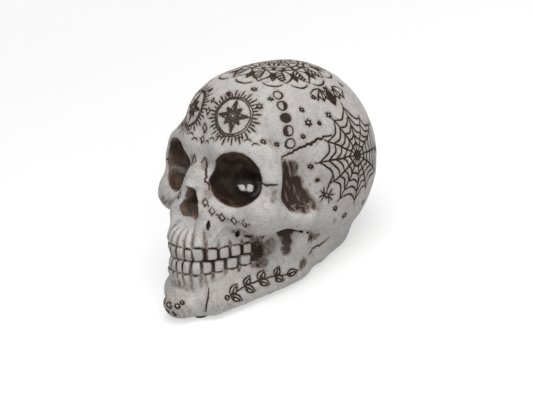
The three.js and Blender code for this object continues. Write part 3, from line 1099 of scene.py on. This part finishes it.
# The umber wash: patches with a middle, radius and strength, on both sides of the skull.
WASH_PATCHES = (
    ((48.4, 24.4, 6), 7, 1.1), ((48, 30, 6), 6, 1.0), ((47, 26, -3), 9, 1.15), ((48, 33, -5), 7, 1.1),
    ((47, 28, -13), 9, 1.15), ((50, 36, -14), 8, 1.15), ((51.5, 27, -18), 5, 1.0),
    ((54.5, 34, -19), 6, 1.05), ((55, 41, -17), 6, 0.9), ((55, 45, -20), 5, 0.6),
    ((40, 20, 20), 7, 0.45), ((28, 19, -50), 7.5, 1.1), ((33, 19, -57), 5, 0.7),
    ((38.5, 32, -38), 4.5, 1.2), ((42, 33, -36), 4.5, 1.2), ((41, 33, -43.5), 4.5, 1.2),
    ((41.5, 32, -49.5), 4, 1.1), ((47, 31, -33), 4, 0.9), ((47, 49, -43.5), 4, 1.0),
    ((45.3, 55, -44), 4, 0.7), ((47.5, 43, -58.8), 4, 0.9), ((46, 41, -62), 3, 0.7),
    ((54, 10.8, -5.5), 2.6, 0.6), ((53.5, 10.4, -10.5), 3, 0.6), ((52, 62, -32), 5, 0.5),
    ((4, -30, -84), 13, 0.3), ((24, -8, -74), 15, 0.27), ((44, 3, -25), 12, 0.2), ((6, -7, 8), 5, 0.5),
    ((14, -9, -10), 5, 0.45), ((33, 40, -20), 4, 0.3),
)
PATCH_EDGE = (0.55, 1.25)


def patch_wash(points):
    folded = mirrored_left(points)
    wash = np.zeros(len(points))
    for middle, radius, strength in WASH_PATCHES:
        away = np.linalg.norm(folded - np.array(middle), axis=1) / radius
        wash = np.maximum(wash, strength * (1 - smoothstep(*PATCH_EDGE, away)))
    return wash


# Paint on the castings: dark in the sockets and nose, with a ragged edge and painted shade deeper in, and
# wash with painted shade in all that is hollow.
RAGGED_GRAIN = 0.35
SOCKET_RAGGED = 0.24
SOCKET_EDGE = (0.3, 1.1)
RIM_ROUNDS = 6
RIM_EDGE = (0.25, 0.75)
NOSE_RAGGED = 0.4
NOSE_EDGE = (0.1, 0.6)
NOSE_COVER = 0.75
NOSE_COVER_DEPTH = (-8, -4)
SHELTERED = (0.22, 0.72)
WASH_AND_SHADE_SHARES = {"wash": 1, "crease": 0.6, "halo": 0.42}
NOSE_WASH = 0.6
NOSE_SHADE = 0.6
NOSE_SHADE_DEPTH = (-7, -3.5)
VARNISH_THIN = 0.15
VARNISH_BACK = (0.75, 0.97)

# Strength and range of the painted shade on the socket paint, towards the inner side, the back and the top
# of a socket.
SOCKET_SHADES = ((0.85, -0.2, 0.5), (1, 0.25, 0.9), (0.7, 0.1, 0.7))

MOST_TRIANGLES = 190000


def paint_casting(mesh):
    points = on_skull(read_points(mesh))
    depth = points[:, 1]
    folded = mirrored_left(points)
    ragged = noise_at(points, RAGGED_GRAIN)
    in_socket = 1 - smoothstep(*SOCKET_EDGE, turned_lump(folded, *SOCKET) + SOCKET_RAGGED * ragged)
    ends = edge_ends(mesh)
    for _ in range(RIM_ROUNDS):
        in_socket = neighbour_mean(ends, in_socket)
    in_socket = smoothstep(*RIM_EDGE, in_socket)
    in_nose = 1 - smoothstep(*NOSE_EDGE, nose_outline(folded) + NOSE_RAGGED * ragged)
    in_nose *= depth < NOSE_END
    nose_cover = NOSE_COVER + (1 - NOSE_COVER) * smoothstep(*NOSE_COVER_DEPTH, depth)
    paint(mesh, "coloured", np.maximum(in_socket, in_nose * nose_cover))
    paint(mesh, "wash", np.maximum.reduce([
        # Wash, with painted shade in creases, and the wash round carved lines.
        *(share * painted(mesh, name) for name, share in WASH_AND_SHADE_SHARES.items()),
        # Umber wash and painted shade in sheltered places, also where the castings meet.
        smoothstep(*SHELTERED, painted(mesh, "shelter")),
        patch_wash(points),
        NOSE_WASH * in_nose,
    ]))
    middle, halves, *angles = SOCKET
    outer, back, high = (turned_place(folded, middle, *angles) / halves).T
    # Painted shade: the socket paint darkens towards the inner side, the back and the top.
    shades = [
        strength * smoothstep(low, full, way)
        for (strength, low, full), way in zip(SOCKET_SHADES, (-outer, back, high))
    ]
    # Painted shade: the nose paint darkens deeper in.
    nose_shade = NOSE_SHADE * smoothstep(*NOSE_SHADE_DEPTH, depth)
    paint(mesh, "painted_shade", np.where(in_nose > 0, nose_shade, np.maximum.reduce(shades)))
    varnish = VARNISH_THIN + (1 - VARNISH_THIN) * smoothstep(*VARNISH_BACK, back)
    paint(mesh, "varnish", in_socket * varnish)


def thin_out(piece):
    """Merges faces where the skin is flattest, to keep the piece light."""
    count = sum(len(face.vertices) - 2 for face in piece.data.polygons)
    if count > MOST_TRIANGLES:
        add_modifier(piece, "DECIMATE", ratio=MOST_TRIANGLES / count)


for piece in castings:
    paint_casting(piece.data)
    thin_out(piece)
    set_points(piece.data, np.clip(read_points(piece.data), *cad_box))
    select_only(piece)
    bpy.ops.object.shade_smooth()


# Materials.
def srgb(red, green, blue):
    """A colour as a screen shows it, from 0 to 255, for a shader."""
    shares = [value / 255 for value in (red, green, blue)]
    return tuple(s / 12.92 if s < 0.04045 else ((s + 0.055) / 1.055) ** 2.4 for s in shares) + (1,)


def feed(tree, node, inputs):
    """Links a node's sockets to others, or sets their constants."""
    for socket, value in inputs.items():
        if isinstance(value, bpy.types.NodeSocket):
            tree.links.new(value, node.inputs[socket])
        else:
            node.inputs[socket].default_value = value


def add_node(tree, kind, inputs=None, **settings):
    made = tree.nodes.new(kind)
    for name, value in settings.items():
        setattr(made, name, value)
    feed(tree, made, inputs or {})
    return made


def mixed(tree, share, one, other, blend="MIX"):
    sockets = {0: share, 6: one, 7: other}
    return add_node(tree, "ShaderNodeMix", sockets, data_type="RGBA", blend_type=blend).outputs[2]


def ramp(tree, value, low, high, bottom=0, top=1):
    sockets = {"Value": value, "From Min": low, "From Max": high, "To Min": bottom, "To Max": top}
    return add_node(tree, "ShaderNodeMapRange", sockets, interpolation_type="SMOOTHSTEP").outputs[0]


def calculate(tree, operation, one, other):
    return add_node(tree, "ShaderNodeMath", {0: one, 1: other}, operation=operation).outputs[0]


def speckle(tree, scale, detail, stretch=1.0):
    """Noise of so many grains to the metre, drawn out downwards by a stretch."""
    place = add_node(tree, "ShaderNodeTexCoord").outputs["Object"]
    place = add_node(tree, "ShaderNodeMapping", {"Vector": place, "Scale": (1, 1, 1 / stretch)}).outputs[0]
    sockets = {"Vector": place, "Scale": scale, "Detail": detail}
    return add_node(tree, "ShaderNodeTexNoise", sockets).outputs[0]


def blotches(tree, grain, cover):
    return ramp(tree, speckle(tree, *grain), *cover)


def attribute(tree, name):
    return add_node(tree, "ShaderNodeAttribute", attribute_name=name).outputs["Fac"]


def new_material(name):
    material = bpy.data.materials.new(name)
    material.use_nodes = True
    return material, material.node_tree, material.node_tree.nodes["Principled BSDF"]


# Colours. A pair is the colour of a surface and of its pits, or of paint and its blotches.
BONE = (srgb(200, 197, 194), srgb(112, 102, 96))
# Lighter bone for ridges: dry-brushed paint and painted highlight.
BRUSHED_AND_HIGHLIT_BONE = srgb(218, 215, 212)
DIRT = srgb(138, 122, 112)
THIN_WASH = srgb(120, 98, 84)
THICK_WASH = srgb(54, 41, 34)
INK = srgb(44, 32, 26)
SHALLOW_PAINT = (srgb(90, 70, 58), srgb(142, 118, 102))
# Paint darkened as painted shade, deep in the sockets and nose.
SHADED_PAINT = (srgb(24, 17, 13), srgb(52, 38, 30))
PLUG_TONES = (srgb(58, 54, 52), srgb(34, 31, 30))
FOOT_TONES = (srgb(38, 36, 35), srgb(22, 20, 20))

# Each noise has grains to the metre, detail and a stretch. Each cover has the values between which a layer
# comes in, and the shares that it goes from and to. Blotches have both.
PIT_GRAIN = (1300, 3)
PIT_COVER = (0.52, 0.74)
TONE_BLOTCHES = ((150, 5), (0.3, 0.7, 0.9, 1.02))
DIRT_BLOTCHES = ((330, 6), (0.5, 0.75, 0, 0.4))
WASH_STREAKS = ((420, 5, 3.5), (0.3, 0.7, 0.7, 1.35))
PAINT_BLOTCHES = ((160, 4, 1.6), (0.4, 0.65))
THIN_COVER = (0.08, 0.6, 0, 0.65)
THICK_COVER = (0.45, 1.1)
INK_GRAIN = (800, 2)
INK_BREAKS = 0.5
INK_COVER = (0.5, 0.95)
BRUSHED_AND_HIGHLIT_SHARE = 0.6

# Share of pits and strength of the relief, and how the surfaces shine, bone both dry and varnished.
BONE_GRAIN = (0.7, 0.3)
RUBBER_GRAIN = (0.8, 0.4)
GRAIN_HEIGHT = 0.2 * MM
BONE_GLOSS = 0.08
BONE_ROUGHNESS = (0.6, 0.2)
VARNISH_COAT = 0.45
VARNISH_ROUGHNESS = 0.12
RUBBER_ROUGHNESS = 0.75
GRAIN_SOCKETS = {
    "INPUT": {"Colour": "Color", "Pit colour": "Color", "Pits": "Float"},
    "OUTPUT": {"Colour": "Color", "Height": "Float"},
}


def cast_grain_group():
    """Fine pits and a slow change of tone, as any cast surface has."""
    group = bpy.data.node_groups.new("cast grain", "ShaderNodeTree")
    for way, sockets in GRAIN_SOCKETS.items():
        for socket, kind in sockets.items():
            group.interface.new_socket(socket, in_out=way, socket_type="NodeSocket" + kind)
    given = group.nodes.new("NodeGroupInput").outputs
    grain = speckle(group, *PIT_GRAIN)
    toned = mixed(group, 1.0, given["Colour"], blotches(group, *TONE_BLOTCHES), "MULTIPLY")
    share = calculate(group, "MULTIPLY", ramp(group, grain, *PIT_COVER), given["Pits"])
    add_node(group, "NodeGroupOutput", {
        "Colour": mixed(group, share, toned, given["Pit colour"]),
        "Height": calculate(group, "SUBTRACT", 1.0, grain),
    })
    return group


def cast_material(name, tones, pits, bump):
    """A new material with the cast grain: the material, its nodes, its shader and its colour so far."""
    material, tree, shader = new_material(name)
    sockets = {"Colour": tones[0], "Pit colour": tones[1], "Pits": pits}
    grain = add_node(tree, "ShaderNodeGroup", sockets, node_tree=grain_group).outputs
    relief = {"Strength": bump, "Distance": GRAIN_HEIGHT, "Height": grain["Height"]}
    feed(tree, shader, {"Normal": add_node(tree, "ShaderNodeBump", relief).outputs[0]})
    return material, tree, shader, grain["Colour"]


def bone_resin():
    material, tree, shader, bone = cast_material("bone resin", BONE, *BONE_GRAIN)
    ink, wash, dry_brush_and_highlight, varnish = (attribute(tree, name) for name in ("ink", "wash", "dry_brush_and_highlight", "varnish"))
    # Ridges lightened: dry-brushed paint and painted highlight.
    bone = mixed(tree, calculate(tree, "MULTIPLY", dry_brush_and_highlight, BRUSHED_AND_HIGHLIT_SHARE), bone, BRUSHED_AND_HIGHLIT_BONE)
    bone = mixed(tree, blotches(tree, *DIRT_BLOTCHES), bone, DIRT)
    cover = calculate(tree, "MULTIPLY", wash, blotches(tree, *WASH_STREAKS))
    bone = mixed(tree, ramp(tree, cover, *THIN_COVER), bone, THIN_WASH)
    bone = mixed(tree, ramp(tree, cover, *THICK_COVER), bone, THICK_WASH)
    breaks = calculate(tree, "MULTIPLY", speckle(tree, *INK_GRAIN), INK_BREAKS)
    bone = mixed(tree, ramp(tree, calculate(tree, "ADD", ink, breaks), *INK_COVER), bone, INK)
    blotch = blotches(tree, *PAINT_BLOTCHES)
    # The socket and nose paint mixes towards a darker colour as painted shade, deep inside and at the top.
    shallow, shaded_paint = (mixed(tree, blotch, *tones) for tones in (SHALLOW_PAINT, SHADED_PAINT))
    colour = mixed(tree, attribute(tree, "painted_shade"), shallow, shaded_paint)
    bone = mixed(tree, attribute(tree, "coloured"), bone, colour)
    feed(tree, shader, {
        "Base Color": bone,
        "Roughness": ramp(tree, varnish, 0, 1, *BONE_ROUGHNESS),
        "Coat Weight": calculate(tree, "MULTIPLY", varnish, VARNISH_COAT),
        "Coat Roughness": VARNISH_ROUGHNESS,
        "Specular IOR Level": BONE_GLOSS,
    })
    return material


def rubber(name, tones):
    material, tree, shader, tone = cast_material(name, tones, *RUBBER_GRAIN)
    feed(tree, shader, {"Base Color": tone, "Roughness": RUBBER_ROUGHNESS})
    return material


def dress(piece, material):
    piece.data.materials.clear()
    piece.data.materials.append(material)


grain_group = cast_grain_group()
resin = bone_resin()
for piece in (*castings, upper_teeth, lower_teeth):
    dress(piece, resin)
    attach(piece, "root")
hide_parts("cranium_casting")
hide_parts("jaw_casting")

dress(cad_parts["base_plug"], rubber("plug rubber", PLUG_TONES))
foot_rubber = rubber("foot rubber", FOOT_TONES)
for end in ("front", "rear"):
    for side in ("left", "right"):
        dress(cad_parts[f"rubber_foot_{end}_{side}"], foot_rubber)


# Stage, light and camera. The camera's lengths are millimetres of the level skull, all others metres.
CAMERA_SWING = math.radians(48)
CAMERA_RISE = math.radians(14)
CAMERA_DISTANCE = 1000
CAMERA_AIM = np.array([0, 50, -10])
CAMERA_ACROSS = 2
CAMERA_DOWN = 16.47
CAMERA_LENS = 101.3
SENSOR_WIDTH = 36
CLIP_END = 50

WHITE = (1, 1, 1, 1)
FLOOR_GREY = (0.5, 0.5, 0.5, 1)
FLOOR_ROUGHNESS = 0.9
FLOOR_RADIUS = 6
FLOOR_SIDES = 96
FLOOR_GLOW = (0.4, 2.5, 0.53, 1)
ROOM_LIGHT = 0.33

# Each lamp's place, width and height, power, and whether it shows only as a reflection.
LAMP_AIM = Vector((0, 0, 0.06))
LAMPS = {
    "key": ((0.3, 0.1, 1.5), (1.0, 1.0), 12.5, False),
    "fill": ((1.0, -0.3, 0.8), (0.8, 0.8), 4, False),
    "left window": ((0.93, -0.54, 0.9), (0.6, 1.05), 36, True),
    "front window": ((0, -1.09, 0.88), (0.9, 1.05), 54, True),
}


def add_camera():
    flat = math.cos(CAMERA_RISE)
    sin = math.sin(CAMERA_SWING)
    cos = math.cos(CAMERA_SWING)
    across = np.array([cos, sin, 0])
    toward = np.array([sin * flat, -cos * flat, math.sin(CAMERA_RISE)])
    up = np.cross(toward, across)
    place = CAMERA_AIM + CAMERA_DISTANCE * toward + CAMERA_ACROSS * across - CAMERA_DOWN * up
    axes = np.stack([across, up, toward]) @ TIP.T
    lens = bpy.data.cameras.new("camera")
    lens.lens = CAMERA_LENS
    lens.sensor_width = SENSOR_WIDTH
    lens.clip_end = CLIP_END
    camera = add_to_scene("camera", lens)
    camera.matrix_world = Matrix.Translation(on_table(place)) @ Matrix(axes.T.tolist()).to_4x4()
    bpy.context.scene.camera = camera


def add_lamp(name, place, size, power, mirrored_only):
    lamp = bpy.data.lights.new(name, "AREA")
    lamp.shape = "RECTANGLE"
    lamp.size, lamp.size_y = size
    lamp.energy = power
    box = add_to_scene(name, lamp)
    box.visible_diffuse = not mirrored_only
    box.location = place
    box.rotation_euler = (LAMP_AIM - Vector(place)).to_track_quat("-Z", "Y").to_euler()


def seen_rays(tree):
    """One for rays that show the room itself, straight, mirrored or through glass."""
    path = add_node(tree, "ShaderNodeLightPath").outputs
    seen = path["Is Camera Ray"]
    for ray in ("Is Glossy Ray", "Is Transmission Ray"):
        seen = calculate(tree, "MAXIMUM", seen, path[ray])
    return seen


def add_floor():
    """Grey paper with a glow in sight only, so that it looks white but lights nothing."""
    bpy.ops.object.select_all(action="DESELECT")
    bpy.ops.mesh.primitive_circle_add(vertices=FLOOR_SIDES, radius=FLOOR_RADIUS, fill_type="NGON")
    floor = bpy.context.active_object
    floor.name = "floor"
    material, tree, shader = new_material("floor paper")
    place = add_node(tree, "ShaderNodeTexCoord").outputs["Object"]
    away = add_node(tree, "ShaderNodeVectorMath", {0: place}, operation="LENGTH").outputs["Value"]
    feed(tree, shader, {
        "Base Color": FLOOR_GREY,
        "Roughness": FLOOR_ROUGHNESS,
        "Emission Color": WHITE,
        "Emission Strength": calculate(tree, "MULTIPLY", seen_rays(tree), ramp(tree, away, *FLOOR_GLOW)),
    })
    floor.data.materials.append(material)


def add_world():
    """Soft light from all round, and plain white where the room itself is seen."""
    world = bpy.data.worlds.new("studio")
    bpy.context.scene.world = world
    world.use_nodes = True
    tree = world.node_tree
    strength = ramp(tree, seen_rays(tree), 0, 1, ROOM_LIGHT, 1)
    feed(tree, tree.nodes["Background"], {"Color": WHITE, "Strength": strength})


add_camera()
add_floor()
add_world()
for name, settings in LAMPS.items():
    add_lamp(name, *settings)
bpy.context.scene.view_settings.view_transform = "Standard"
